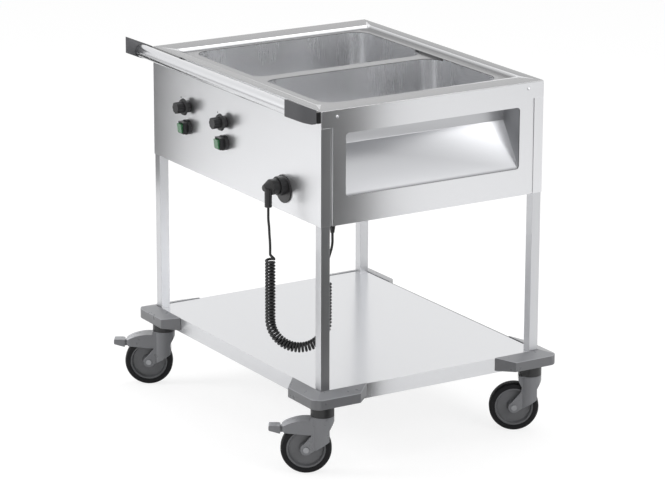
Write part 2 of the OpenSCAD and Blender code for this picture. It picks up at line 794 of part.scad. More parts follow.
// Least distance between the skins of neighbouring curls
near_share = 0.6;
near_from = floor(curl_rings * near_share);
near_to = ceil(curl_rings * (1 + near_share));
curl_gap = min([for (i = [0 : len(curl_points) - 1 - near_to], j = [near_from : near_to])
    norm(curl_points[i] - curl_points[i + j])]) - cord_d;
module cord_curl() {
    echo(curl_gap = curl_gap, curl_points = len(curl_points));
    last = len(curl_points) - 1;
    color(black_plastic) skin([for (i = [0 : last]) ring(
        curl_points[i],
        i == 0 ? [0, 0, -1] : i == last ? [0, 0, 1] : along(curl_points, i),
        curl_spoke(curl_places[i]), cord_d / 2, curl_sides
    )]);
}

gland_nut_d = 24;
gland_nut_h = 8;
gland_sleeve_d = 15;
gland_tip_d = 10;
gland_tip_z = lower_route[len(lower_route) - 1].z;
module cable_gland() at_casing() color(black_plastic) translate([gland_x, gland_y, 0]) {
    under = floor_z + sheet_t;
    rotate_extrude($fn = round_fn) polygon([
        [0, gland_tip_z], [gland_tip_d / 2, gland_tip_z],
        [gland_sleeve_d / 2, under - 2 * gland_nut_h], [gland_d / 2, under - gland_nut_h],
        [gland_nut_d / 2, under - gland_nut_h], [gland_nut_d / 2, under],
        [gland_d / 2, under], [gland_d / 2, under + sheet_t], [gland_nut_d / 2, under + sheet_t],
        [gland_nut_d / 2, under + gland_nut_h], [0, under + gland_nut_h]
    ]);
}

terminal_l = 66;
terminal_w = 24;
terminal_h = 20;
terminal_poles = 5;
terminal_behind = 75;
terminal_y = gland_y + terminal_behind;
module terminal_block() at_casing() color("ivory")
    translate([gland_x - terminal_l, terminal_y, floor_z + 2 * sheet_t]) difference() {
        pole = terminal_l / terminal_poles;
        cube([terminal_l, terminal_w, terminal_h]);
        for (i = [0 : terminal_poles - 1])
            translate([(i + 0.5) * pole, terminal_w / 2, terminal_h / 2])
                cylinder(d = pole / 2, h = terminal_h, $fn = hull_fn);
    }

// Casters

wheel_r = wheel_d / 2;
tyre_play = 2;
fork_gap = tyre_w + 2 * tyre_play;
fork_wall = 4;
fork_w = fork_gap + 2 * fork_wall;
wheel_room = 4;
head_rise = 20;
head_h = 14;
head_z = wheel_d + head_rise;
kingpin_d = 12;
kingpin_head_d = 20;
kingpin_head_h = 5;
kingpin_drop = 24;
kingpin_head_z = head_z - kingpin_drop;
insert_h = 34;
insert_play = 0.1;
boss_r = 13.5;
axle_cap_d = 15;
axle_cap_h = 2.5;
hood_tip_r = 10;
groove_h = 2;

// Side outlines, as shares of the wheel's radius from the axle
fork_back_shares = [[-0.914, 0.79], [-0.914, 0.34]];
fork_front_shares = [[-0.28, 0.66], [-0.3, 0.86]];
hood_shares = [[-0.3, 0.6], [-0.06, 0.61], [0.85, 0.69], [0.936, 0.79], [0.936, 1.4], [-0.3, 1.4]];
hood_arc_share = [-0.024, -0.634];
hood_arc_r_share = 1.84;
boss_low_share = [-0.53, -0.81];
boss_high_share = [0.74, 0.62];
tongue_shares = [[0.33, 0.66], [1.02, 0.66], [1.02, 1.3], [0.33, 1.3]];
tab_shares = [
    [1, 0.64], [1.04, 0.63], [1.44, 0.74], [1.46, 0.78], [1.46, 0.92], [1.43, 0.95], [1.1, 0.955], [1, 0.93]
];
pedal_pin_share = [0.424, 1.04];
pedal_pin_d = 4;
pedal_pin_l = 26;
tongue_w = 13;
tongue_room = 5;
tab_w = 28;

function from_axle(share) = [trail, wheel_r] + wheel_r * share;

module fork_outline(braked) {
    translate([trail, wheel_r]) circle(boss_r, $fn = round_fn);
    polygon(concat(
        [[-swivel_d / 2, head_z], [-swivel_d / 2, head_z - head_h]],
        [for (p = fork_back_shares) from_axle(p)],
        [[trail, wheel_r] + boss_r * boss_low_share, [trail, wheel_r] + boss_r * boss_high_share],
        [for (p = fork_front_shares) from_axle(p)],
        [[swivel_d / 2, head_z - head_h], [swivel_d / 2, head_z]]
    ));
    if (braked) intersection() {
        polygon([for (p = hood_shares) from_axle(p)]);
        translate(from_axle(hood_arc_share)) circle(hood_arc_r_share * wheel_r, $fn = 2 * round_fn);
    }
}
// Cylinder across the fork, through a place in its side view
module across(place, d, l) {
    translate([place[0], -l / 2, place[1]]) rod_y(d, l);
}
module fork(braked) {
    hood_end = from_axle(hood_shares[4])[0];
    color(grey_plastic) difference() {
        intersection() {
            translate([0, fork_w, 0]) rotate([90, 0, 0]) linear_extrude(2 * fork_w) fork_outline(braked);
            union() {
                cylinder(d = swivel_d, h = head_z, $fn = round_fn);
                translate([hood_end / 2, 0, 0]) round_plate(hood_end, fork_w, hood_tip_r, head_z);
            }
        }
        across([trail, wheel_r], wheel_d + 2 * wheel_room, fork_gap);
        across([trail, wheel_r], axle_d + 2 * fit, 2 * fork_w);
        cylinder(d = kingpin_d + 2 * fit, h = head_z + over, $fn = round_fn);
        translate([0, 0, wheel_r]) cylinder(d = kingpin_head_d + 2 * gap,
            h = kingpin_head_z + kingpin_head_h + gap - wheel_r, $fn = round_fn);
        if (braked) {
            tongue_x = from_axle(tongue_shares[0])[0];
            translate([tongue_x - gap, -tongue_w / 2 - gap, wheel_r])
                cube([swivel_d + wheel_d, tongue_w + 2 * gap, wheel_d]);
            across(from_axle(pedal_pin_share), pedal_pin_d + 2 * fit, pedal_pin_l + 2 * gap);
        }
    }
}
module brake_pedal() {
    color(grey_plastic) {
        translate([0, tongue_w / 2, 0]) rotate([90, 0, 0]) linear_extrude(tongue_w) difference() {
            intersection() {
                polygon([for (p = tongue_shares) from_axle(p)]);
                translate(from_axle(hood_arc_share))
                    circle(hood_arc_r_share * wheel_r - gap, $fn = 2 * round_fn);
            }
            translate([trail, wheel_r]) circle(wheel_r + tongue_room, $fn = round_fn);
        }
        translate([0, tab_w / 2, 0]) rotate([90, 0, 0]) linear_extrude(tab_w)
            polygon([for (p = tab_shares) from_axle(p)]);
        across(from_axle(pedal_pin_share), pedal_pin_d, pedal_pin_l);
    }
}

hub_d = 30;
hub_taper = 3;
web_half = 4;
rim_half = 14;
rim_w_ring = 7;
rim_r = wheel_r - tyre_t;
tread_edge = 4;
module wheel() {
    hub_half = fork_gap / 2 - gap;
    half = [
        [axle_d / 2 + fit, hub_half], [hub_d / 2, hub_half], [hub_d / 2 + hub_taper, web_half],
        [rim_r - rim_w_ring, web_half], [rim_r - rim_w_ring + hub_taper, rim_half], [rim_r, rim_half]
    ];
    color(grey_plastic) translate([trail, 0, wheel_r]) rotate([90, 0, 0]) rotate_extrude($fn = 2 * round_fn)
        polygon(concat(half, [for (i = [len(half) - 1 : -1 : 0]) [half[i][0], -half[i][1]]]));
}
module tyre() {
    half = [
        [rim_r, tyre_w / 2], [wheel_r - tread_edge, tyre_w / 2],
        [wheel_r - tread_edge / 4, tyre_w / 2 - tread_edge], [wheel_r, tyre_w / 2 - 2 * tread_edge]
    ];
    color(rubber_black) translate([trail, 0, wheel_r]) rotate([90, 0, 0]) rotate_extrude($fn = 2 * round_fn)
        polygon(concat(half, [for (i = [len(half) - 1 : -1 : 0]) [half[i][0], -half[i][1]]]));
}
module axle() {
    color(steel) {
        across([trail, wheel_r], axle_d, fork_w + 2 * axle_cap_h);
        for (side = [-1, 1]) translate([0, side * (fork_w + axle_cap_h) / 2, 0])
            across([trail, wheel_r], axle_cap_d, axle_cap_h);
    }
}

module at_caster(sx, sy) {
    at_casing() translate([sx * leg_x, sy * leg_y, 0]) rotate([0, 0, rest_turn]) children();
}
module fork_front_left() at_caster(-1, -1) fork(true);
module fork_front_right() at_caster(1, -1) fork(true);
module fork_rear_left() at_caster(-1, 1) fork(false);
module fork_rear_right() at_caster(1, 1) fork(false);
module wheel_front_left() at_caster(-1, -1) wheel();
module wheel_front_right() at_caster(1, -1) wheel();
module wheel_rear_left() at_caster(-1, 1) wheel();
module wheel_rear_right() at_caster(1, 1) wheel();
module tyre_front_left() at_caster(-1, -1) tyre();
module tyre_front_right() at_caster(1, -1) tyre();
module tyre_rear_left() at_caster(-1, 1) tyre();
module tyre_rear_right() at_caster(1, 1) tyre();
module axle_front_left() at_caster(-1, -1) axle();
module axle_front_right() at_caster(1, -1) axle();
module axle_rear_left() at_caster(-1, 1) axle();
module axle_rear_right() at_caster(1, 1) axle();
module brake_pedal_left() at_caster(-1, -1) brake_pedal();
module brake_pedal_right() at_caster(1, -1) brake_pedal();

// Swivel cups on the legs' ends, each with its insert in the leg and its kingpin
module caster_stems() at_casing() color(grey_plastic) {
    insert_w = leg_w - 2 * leg_wall - 2 * insert_play;
    cup_z = head_z + gap;
    for (sx = [-1, 1], sy = [-1, 1]) translate([sx * leg_x, sy * leg_y, 0]) {
        difference() {
            translate([0, 0, cup_z]) cylinder(d = swivel_d, h = rim_z - cup_z, $fn = round_fn);
            translate([0, 0, rim_z - groove_h - over]) difference() {
                cylinder(d = swivel_d + over, h = groove_h, $fn = round_fn);
                cylinder(d = swivel_d - groove_h, h = groove_h, $fn = round_fn);
            }
        }
        translate([-insert_w / 2, -insert_w / 2, rim_z]) cube([insert_w, insert_w, insert_h]);
        translate([0, 0, kingpin_head_z]) {
            cylinder(d = kingpin_head_d, h = kingpin_head_h, $fn = round_fn);
            cylinder(d = kingpin_d, h = cup_z - kingpin_head_z, $fn = round_fn);
        }
    }
}

leg_front_left();
leg_front_right();
leg_rear_left();
leg_rear_right();
top_deck();
well_left();
well_right();
well_divider();
heating_elements();
front_panel();
rear_panel();
left_panel();
right_panel();
side_recess();
casing_floor();
panel_screws();
handle_tube();
handle_bracket_left();
handle_bracket_right();
bracket_strips();
lower_shelf();
bumper_front_left();
bumper_front_right();
bumper_rear_left();
bumper_rear_right();
knob_left();
knob_right();
regulator_left();
regulator_right();
switch_housing_left();
switch_housing_right();
rocker_left();
rocker_right();
parking_socket();
mains_plug();
cord_upper();
cord_curl();
cord_lower();
cable_gland();
terminal_block();
caster_stems();
fork_front_left();
fork_front_right();
fork_rear_left();
fork_rear_right();
wheel_front_left();
wheel_front_right();
wheel_rear_left();
wheel_rear_right();
tyre_front_left();
tyre_front_right();
tyre_rear_left();
tyre_rear_right();
axle_front_left();
axle_front_right();
axle_rear_left();
axle_rear_right();
brake_pedal_left();
brake_pedal_right();
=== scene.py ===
# Looks of the heated hostess trolley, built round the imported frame.
import bpy
import json
from math import cos, pi, radians, sin
from mathutils import Matrix, Vector

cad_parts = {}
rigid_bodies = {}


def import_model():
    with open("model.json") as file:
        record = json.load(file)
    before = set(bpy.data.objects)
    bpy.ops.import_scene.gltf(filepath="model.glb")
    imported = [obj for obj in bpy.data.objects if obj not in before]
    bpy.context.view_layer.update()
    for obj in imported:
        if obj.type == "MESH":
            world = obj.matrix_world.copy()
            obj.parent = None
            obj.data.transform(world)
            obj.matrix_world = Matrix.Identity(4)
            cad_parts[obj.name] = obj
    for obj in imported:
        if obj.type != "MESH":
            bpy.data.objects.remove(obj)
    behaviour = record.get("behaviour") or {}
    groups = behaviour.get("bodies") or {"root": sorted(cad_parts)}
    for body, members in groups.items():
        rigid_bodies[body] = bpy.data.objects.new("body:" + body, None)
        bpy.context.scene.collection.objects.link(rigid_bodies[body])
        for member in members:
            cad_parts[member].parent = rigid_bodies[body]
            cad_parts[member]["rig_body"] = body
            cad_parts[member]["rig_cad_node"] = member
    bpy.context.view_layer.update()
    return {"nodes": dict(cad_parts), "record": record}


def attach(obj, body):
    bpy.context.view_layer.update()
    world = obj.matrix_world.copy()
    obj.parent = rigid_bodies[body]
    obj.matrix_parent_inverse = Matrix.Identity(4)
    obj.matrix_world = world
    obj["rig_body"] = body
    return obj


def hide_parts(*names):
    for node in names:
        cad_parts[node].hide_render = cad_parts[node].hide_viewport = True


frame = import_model()
nodes = frame["nodes"]
bodyOfNode = {name: node["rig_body"] for name, node in nodes.items()}
scene = bpy.context.scene
print("frame loaded:", len(nodes), "nodes")


# Camera, fitted to the edges in the photograph
camera = {
    "place": (6.7564, -4.1515, 2.7207), "turn": 58.368, "down": 16.175, "roll": 0.172, "lens": 175.58,
    "sensor": 36, "farthest": 100,
}


def makeCamera():
    data = bpy.data.cameras.new("studioCamera")
    data.lens = camera["lens"]
    data.sensor_width = camera["sensor"]
    data.clip_end = camera["farthest"]
    holder = bpy.data.objects.new("studioCamera", data)
    scene.collection.objects.link(holder)
    holder.matrix_world = (
        Matrix.Translation(camera["place"])
        @ Matrix.Rotation(radians(camera["turn"]), 4, "Z")
        @ Matrix.Rotation(radians(90 - camera["down"]), 4, "X")
        @ Matrix.Rotation(radians(camera["roll"]), 4, "Z")
    )
    scene.camera = holder


makeCamera()


# Helpers for modelling by hand
def only(piece):
    if bpy.context.object and bpy.context.object.mode != "OBJECT":
        bpy.ops.object.mode_set(mode="OBJECT")
    bpy.ops.object.select_all(action="DESELECT")
    piece.select_set(True)
    bpy.context.view_layer.objects.active = piece
    return piece


def edit():
    bpy.ops.object.mode_set(mode="EDIT")
    bpy.ops.mesh.select_mode(type="FACE")


def done():
    bpy.ops.object.mode_set(mode="OBJECT")


def applyPlace(piece):
    only(piece)
    bpy.ops.object.transform_apply(location=True, rotation=True, scale=True)


rounding = {"smoothAngle": 35, "edgeAngle": 32, "flatAngle": 0.5, "segments": 2, "mergeDistance": 0.00001}


# Rounded edges whose neighbouring faces keep their own flat shading
def bevelled(piece, width):
    only(piece)
    bpy.ops.object.shade_smooth_by_angle(angle=radians(rounding["smoothAngle"]))
    bevel = piece.modifiers.new("roundedEdges", "BEVEL")
    bevel.width = width
    bevel.segments = rounding["segments"]
    bevel.limit_method = "ANGLE"
    bevel.angle_limit = radians(rounding["edgeAngle"])
    bevel.use_clamp_overlap = True
    bevel.harden_normals = True
    bpy.ops.object.modifier_apply(modifier=bevel.name)


# A merged copy of a CAD node with rounded edges, which stands for that node
def softened(name, width):
    node = nodes[name]
    piece = node.copy()
    piece.data = node.data.copy()
    piece.name = name + "Soft"
    piece.parent = None
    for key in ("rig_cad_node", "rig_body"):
        del piece[key]
    scene.collection.objects.link(piece)
    only(piece)
    edit()
    bpy.ops.mesh.select_all(action="SELECT")
    bpy.ops.mesh.remove_doubles(threshold=rounding["mergeDistance"])
    bpy.ops.mesh.dissolve_limited(angle_limit=radians(rounding["flatAngle"]), delimit=set())
    done()
    bevelled(piece, width)
    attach(piece, bodyOfNode[name])
    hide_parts(name)
    return piece


# Mains cord: one line from the gland to the plug
mainsCord = {
    "diameter": 0.0063, "curlDiameter": 0.026, "curls": 58, "lowest": 0.364, "pointsPerCurl": 16,
    "turnGap": 0.0003, "leadDiameters": 2, "leadPoints": 8, "routeSteps": 4, "roundness": 4,
}
upperRoute = [
    (0.265, -0.335, 0.642), (0.265, -0.335, 0.627), (0.267, -0.336, 0.611), (0.272, -0.337, 0.594),
    (0.277, -0.339, 0.577), (0.281, -0.340, 0.561), (0.282, -0.340, 0.548), (0.282, -0.340, 0.535),
]
lowerRoute = [
    (0.367, -0.232, 0.482), (0.367, -0.232, 0.496), (0.368, -0.231, 0.512), (0.371, -0.227, 0.530),
    (0.374, -0.223, 0.548), (0.375, -0.221, 0.563), (0.375, -0.221, 0.576), (0.375, -0.221, 0.588),
]


def ease(share):
    share = min(1, max(0, share))
    return share * share * (3 - 2 * share)


def curlPoints():
    start = Vector(upperRoute[-1])
    end = Vector(lowerRoute[0])
    plan = Vector((end.x - start.x, end.y - start.y, 0))
    bend = plan.length / 2
    across = plan.normalized()
    side = Vector((0, 0, 1)).cross(across)
    down = start.z - mainsCord["lowest"]
    up = end.z - mainsCord["lowest"]
    path = down + pi * bend + up
    radius = (mainsCord["curlDiameter"] - mainsCord["diameter"]) / 2
    tail = mainsCord["diameter"] + mainsCord["turnGap"]
    lead = mainsCord["leadDiameters"] * mainsCord["diameter"]
    curl = (path - 2 * (tail + lead)) / mainsCord["curls"]
    middle = start + across * bend - Vector((0, 0, down))

    def place(s):
        turn = pi * max(0, min(1, (s - down) / (pi * bend)))
        outward = cos(turn) * across + Vector((0, 0, sin(turn)))
        centre = middle - bend * outward + Vector((0, 0, max(0, down - s) + max(0, s - down - pi * bend)))
        spin = 2 * pi * (min(s, path - tail - lead) - min(s, tail + lead)) / curl
        spoke = cos(spin) * outward + sin(spin) * side
        return centre + radius * ease((s - tail) / lead) * ease((path - tail - s) / lead) * spoke

    leadSteps = [tail + lead * i / mainsCord["leadPoints"] for i in range(mainsCord["leadPoints"])]
    steps = mainsCord["curls"] * mainsCord["pointsPerCurl"]
    woundSteps = [tail + lead + i * curl / mainsCord["pointsPerCurl"] for i in range(steps + 1)]
    lastSteps = [path - s for s in reversed(leadSteps)]
    return [place(s) for s in [0] + leadSteps + woundSteps + lastSteps + [path]]


# Smooth line through the points of a route
def rounded(route):
    steps = mainsCord["routeSteps"]
    points = [Vector(p) for p in route]
    line = []
    for i in range(len(points) - 1):
        a = points[max(0, i - 1)]
        b = points[i]
        c = points[i + 1]
        d = points[min(len(points) - 1, i + 2)]
        for k in range(steps):
            t = k / steps
            line.append(0.5 * (2 * b + (c - a) * t + (2 * a - 5 * b + 4 * c - d) * t**2 + (3 * b - a - 3 * c + d) * t**3))
    return line + [points[-1]]


def makeCord():
    points = rounded(upperRoute)[:-1] + curlPoints() + rounded(lowerRoute)[1:]
    points.reverse()
    data = bpy.data.curves.new("mainsCord", "CURVE")
    data.dimensions = "3D"
    data.bevel_depth = mainsCord["diameter"] / 2
    data.bevel_resolution = mainsCord["roundness"]
    data.use_fill_caps = True
    spline = data.splines.new("POLY")
    spline.points.add(len(points) - 1)
    for point, place in zip(spline.points, points):
        point.co = (*place, 1)
    spline.use_smooth = True
    cord = bpy.data.objects.new("mainsCord", data)
    scene.collection.objects.link(cord)
    only(cord)
    bpy.ops.object.convert(target="MESH")
    cord = bpy.context.object
    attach(cord, bodyOfNode["cord_curl"])
    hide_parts("cord_upper", "cord_curl", "cord_lower")
    softened("mains_plug", 0.0015)
    return cord


cord = makeCord()
print("camera and cord made")


# Shared effects, as node groups
def newGroup(name, inputs, outputs):
    group = bpy.data.node_groups.new(name, "ShaderNodeTree")
    for label, kind, value in inputs:
        socket = group.interface.new_socket(label, in_out="INPUT", socket_type=kind)
        if value is not None:
            socket.default_value = value
    for label, kind in outputs:
        group.interface.new_socket(label, in_out="OUTPUT", socket_type=kind)
    return group, group.nodes.new("NodeGroupInput"), group.nodes.new("NodeGroupOutput")


def put(tree, kind, **values):
    node = tree.nodes.new(kind)
    for name, value in values.items():
        if name in ("operation", "data_type", "feature", "node_tree"):
            setattr(node, name, value)
        else:
            node.inputs[name].default_value = value
    return node


def join(tree, *pairs):
    for source, target in pairs:
        tree.links.new(source, target)


# A value moved from one span to another; span is from low, from high, to low, to high
def mapped(tree, value, span):
    node = tree.nodes.new("ShaderNodeMapRange")
    for socket, number in zip(("From Min", "From Max", "To Min", "To Max"), span):
        if isinstance(number, bpy.types.NodeSocket):
            tree.links.new(number, node.inputs[socket])
        else:
            node.inputs[socket].default_value = number
    join(tree, (value, node.inputs["Value"]))
    return node.outputs["Result"]


# A noise value spread about zero by an amount
def centred(tree, value, amount):
    spread = put(tree, "ShaderNodeMath", operation="MULTIPLY_ADD")
    lower = put(tree, "ShaderNodeMath", operation="MULTIPLY")
    lower.inputs[1].default_value = -noiseMiddle
    join(tree, (value, spread.inputs[0]), (amount, spread.inputs[1]),
         (amount, lower.inputs[0]), (lower.outputs[0], spread.inputs[2]))
    return spread.outputs[0]


# How far a face looks upwards: 1 when it is level, 0 when it is upright
def normalHeight(tree):
    shape = tree.nodes.new("ShaderNodeNewGeometry")
    facing = tree.nodes.new("ShaderNodeSeparateXYZ")
    join(tree, (shape.outputs["Normal"], facing.inputs[0]))
    return facing.outputs["Z"]


noiseMiddle = 0.5  # what a noise texture averages
levelNormal = 0.995  # a face counts as level from here
highlightSpans = {"rising": (0.10, 0.55, 0.0, 1.0), "falling": (0.90, 0.995, 1.0, 0.35)}  # painted highlight, by the normal's height
grainLines = {"stretch": (0.025, 1, 1), "Scale": 1400.0, "Detail": 3.0, "Roughness": 0.6}
grainClouds = {"stretch": (0.25, 1, 1), "Scale": 9.0, "Detail": 3.0, "Roughness": 0.5}
handlingMarks = {"Scale": 30.0, "Detail": 4.0, "Roughness": 0.6}


# Noise drawn out along X
def stretchedNoise(tree, vector, look):
    stretch = put(tree, "ShaderNodeMapping")
    stretch.inputs["Scale"].default_value = look["stretch"]
    noise = put(tree, "ShaderNodeTexNoise", **{key: look[key] for key in ("Scale", "Detail", "Roughness")})
    join(tree, (vector, stretch.inputs[0]), (stretch.outputs[0], noise.inputs["Vector"]))
    return noise.outputs["Fac"]


# Fine parallel grinding lines, long along X in the coordinates that it is given
def makeGrainGroup():
    group, entry, out = newGroup(
        "groundSteel",
        [("Vector", "NodeSocketVector", None), ("Fineness", "NodeSocketFloat", 1.0), ("Cloudiness", "NodeSocketFloat", 0.5)],
        [("Lines", "NodeSocketFloat"), ("Clouds", "NodeSocketFloat")],
    )
    scaled = put(group, "ShaderNodeVectorMath", operation="SCALE")
    join(group, (entry.outputs["Vector"], scaled.inputs[0]), (entry.outputs["Fineness"], scaled.inputs["Scale"]))
    clouds = stretchedNoise(group, entry.outputs["Vector"], grainClouds)
    join(group,
         (stretchedNoise(group, scaled.outputs[0], grainLines), out.inputs["Lines"]),
         (centred(group, clouds, entry.outputs["Cloudiness"]), out.inputs["Clouds"]))
    return group


# Grain of moulded plastic or rubber, with faint handling marks
def makeMouldGroup():
    group, entry, out = newGroup(
        "mouldedSurface",
        [("Vector", "NodeSocketVector", None), ("Grain Size", "NodeSocketFloat", 900.0), ("Marks", "NodeSocketFloat", 0.5)],
        [("Grain", "NodeSocketFloat"), ("Marks", "NodeSocketFloat")],
    )
    grain = put(group, "ShaderNodeTexVoronoi", feature="F1")
    marks = put(group, "ShaderNodeTexNoise", **handlingMarks)
    join(group,
         (entry.outputs["Vector"], grain.inputs["Vector"]), (entry.outputs["Grain Size"], grain.inputs["Scale"]),
         (grain.outputs["Distance"], out.inputs["Grain"]), (entry.outputs["Vector"], marks.inputs["Vector"]),
         (centred(group, marks.outputs["Fac"], entry.outputs["Marks"]), out.inputs["Marks"]))
    return group


# Painted shade: darker level faces above a height, and a painted shade that changes along a direction, as at the foot
# of a step
def makeFlatShadeGroup():
    group, entry, out = newGroup(
        "paintedFlatShade",
        [("Colour", "NodeSocketColor", None), ("Vector", "NodeSocketVector", None), ("Along", "NodeSocketVector", (0, 0, 1)),
         ("Flat Share", "NodeSocketFloat", 1.0), ("Above", "NodeSocketFloat", 0.0),
         ("From", "NodeSocketFloat", 0.0), ("To", "NodeSocketFloat", 1.0),
         ("Share From", "NodeSocketFloat", 1.0), ("Share To", "NodeSocketFloat", 1.0)],
        [("Colour", "NodeSocketColor")],
    )
    place = group.nodes.new("ShaderNodeSeparateXYZ")
    distance = put(group, "ShaderNodeVectorMath", operation="DOT_PRODUCT")
    level = put(group, "ShaderNodeMath", operation="GREATER_THAN")
    level.inputs[1].default_value = levelNormal
    high = put(group, "ShaderNodeMath", operation="GREATER_THAN")
    highLevel = put(group, "ShaderNodeMath", operation="MULTIPLY")
    chosen = put(group, "ShaderNodeMix", data_type="FLOAT")
    darkened = put(group, "ShaderNodeVectorMath", operation="SCALE")
    join(group,
         (normalHeight(group), level.inputs[0]),
         (entry.outputs["Vector"], place.inputs[0]), (place.outputs["Z"], high.inputs[0]),
         (entry.outputs["Above"], high.inputs[1]),
         (level.outputs[0], highLevel.inputs[0]), (high.outputs[0], highLevel.inputs[1]),
         (entry.outputs["Vector"], distance.inputs[0]), (entry.outputs["Along"], distance.inputs[1]))
    shade = mapped(group, distance.outputs["Value"],
                   [entry.outputs[name] for name in ("From", "To", "Share From", "Share To")])
    join(group,
         (highLevel.outputs[0], chosen.inputs["Factor"]), (shade, chosen.inputs["A"]),
         (entry.outputs["Flat Share"], chosen.inputs["B"]), (entry.outputs["Colour"], darkened.inputs[0]),
         (chosen.outputs["Result"], darkened.inputs["Scale"]), (darkened.outputs[0], out.inputs["Colour"]))
    return group


# Painted highlight: paler colour on faces that lean upwards and on rounded edges, where light catches a moulding
def makeEdgeHighlightGroup():
    group, entry, out = newGroup(
        "paintedEdgeHighlights",
        [("Colour", "NodeSocketColor", None), ("Lift", "NodeSocketFloat", 0.0)],
        [("Colour", "NodeSocketColor")],
    )
    height = normalHeight(group)
    both = put(group, "ShaderNodeMath", operation="MULTIPLY")
    scale = put(group, "ShaderNodeMath", operation="MULTIPLY_ADD")
    scale.inputs[2].default_value = 1.0
    paler = put(group, "ShaderNodeVectorMath", operation="SCALE")
    join(group,
         (mapped(group, height, highlightSpans["rising"]), both.inputs[0]),
         (mapped(group, height, highlightSpans["falling"]), both.inputs[1]),
         (both.outputs[0], scale.inputs[0]), (entry.outputs["Lift"], scale.inputs[1]),
         (entry.outputs["Colour"], paler.inputs[0]), (scale.outputs[0], paler.inputs["Scale"]),
         (paler.outputs[0], out.inputs["Colour"]))
    return group


groundSteel = makeGrainGroup()
mouldedSurface = makeMouldGroup()
paintedFlatShade = makeFlatShadeGroup()
paintedEdgeHighlights = makeEdgeHighlightGroup()


def newMaterial(name):
    material = bpy.data.materials.new(name)
    material.use_nodes = True
    tree = material.node_tree
    tree.nodes.clear()
    surface = tree.nodes.new("ShaderNodeBsdfPrincipled")
    out = tree.nodes.new("ShaderNodeOutputMaterial")
    coordinates = tree.nodes.new("ShaderNodeTexCoord")
    join(tree, (surface.outputs[0], out.inputs[0]))
    return material, tree, surface, coordinates


# Two shades of a colour, a share darker and a share lighter, mixed by a mask
def shaded(tree, mask, colour, share):
    mix = put(tree, "ShaderNodeMix", data_type="RGBA")
    mix.inputs["A"].default_value = (*[c * (1 - share) for c in colour], 1)
    mix.inputs["B"].default_value = (*[min(1, c * (1 + share)) for c in colour], 1)
    join(tree, (mask, mix.inputs["Factor"]))
    return mix.outputs["Result"]


# Ground stainless steel; turn lays the grinding lines along another axis
def steelMaterial(name, look):
    material, tree, surface, coordinates = newMaterial(name)
    turned = put(tree, "ShaderNodeMapping")
    turned.inputs["Rotation"].default_value = [radians(a) for a in look["turn"]]
    grain = put(tree, "ShaderNodeGroup", node_tree=groundSteel, Fineness=look["fineness"], Cloudiness=look["cloudiness"])
    bump = put(tree, "ShaderNodeBump", Strength=look["bump"], Distance=grainDepth["steel"])
    uneven = put(tree, "ShaderNodeMath", operation="ADD")
    join(tree, (coordinates.outputs["Object"], turned.inputs[0]), (turned.outputs[0], grain.inputs["Vector"]))
    colour = shaded(tree, grain.outputs["Lines"], look["colour"], look["lines"])
    # Painted shade on level faces, and along a crease or down a wall
    if "paintedShade" in look:
        flatShaded = put(tree, "ShaderNodeGroup", node_tree=paintedFlatShade, **look["paintedShade"])
        join(tree, (colour, flatShaded.inputs["Colour"]), (coordinates.outputs["Object"], flatShaded.inputs["Vector"]))
        colour = flatShaded.outputs["Colour"]
    rough = mapped(tree, grain.outputs["Lines"],
                   (0, 1, look["roughness"] - look["lines"], look["roughness"] + look["lines"]))
    join(tree,
         (colour, surface.inputs["Base Color"]),
         (grain.outputs["Lines"], bump.inputs["Height"]), (bump.outputs[0], surface.inputs["Normal"]),
         (rough, uneven.inputs[0]), (grain.outputs["Clouds"], uneven.inputs[1]),
         (uneven.outputs[0], surface.inputs["Roughness"]))
    surface.inputs["Metallic"].default_value = 1.0
    return material


def mouldedMaterial(name, look):
    material, tree, surface, coordinates = newMaterial(name)
    mould = put(tree, "ShaderNodeGroup", node_tree=mouldedSurface, Marks=look["marks"])
    mould.inputs["Grain Size"].default_value = look["grainSize"]
    shade = put(tree, "ShaderNodeMath", operation="ADD")
    shade.inputs[1].default_value = noiseMiddle
    rough = put(tree, "ShaderNodeMath", operation="MULTIPLY_ADD")
    rough.inputs[1].default_value = markLook["roughness"]
    rough.inputs[2].default_value = look["roughness"]
    bump = put(tree, "ShaderNodeBump", Strength=look["bump"], Distance=grainDepth["moulded"])
    join(tree, (coordinates.outputs["Object"], mould.inputs["Vector"]), (mould.outputs["Marks"], shade.inputs[0]))
    colour = shaded(tree, shade.outputs[0], look["colour"], markLook["colour"])
    # Painted highlight on faces that lean upwards and on rounded edges
    if "edgeHighlight" in look:
        highlighted = put(tree, "ShaderNodeGroup", node_tree=paintedEdgeHighlights, Lift=look["edgeHighlight"])
        join(tree, (colour, highlighted.inputs["Colour"]))
        colour = highlighted.outputs["Colour"]
    join(tree,
         (colour, surface.inputs["Base Color"]),
         (mould.outputs["Marks"], rough.inputs[0]), (rough.outputs[0], surface.inputs["Roughness"]),
         (mould.outputs["Grain"], bump.inputs["Height"]), (bump.outputs[0], surface.inputs["Normal"]))
    surface.inputs["Specular IOR Level"].default_value = look["gloss"]
    return material


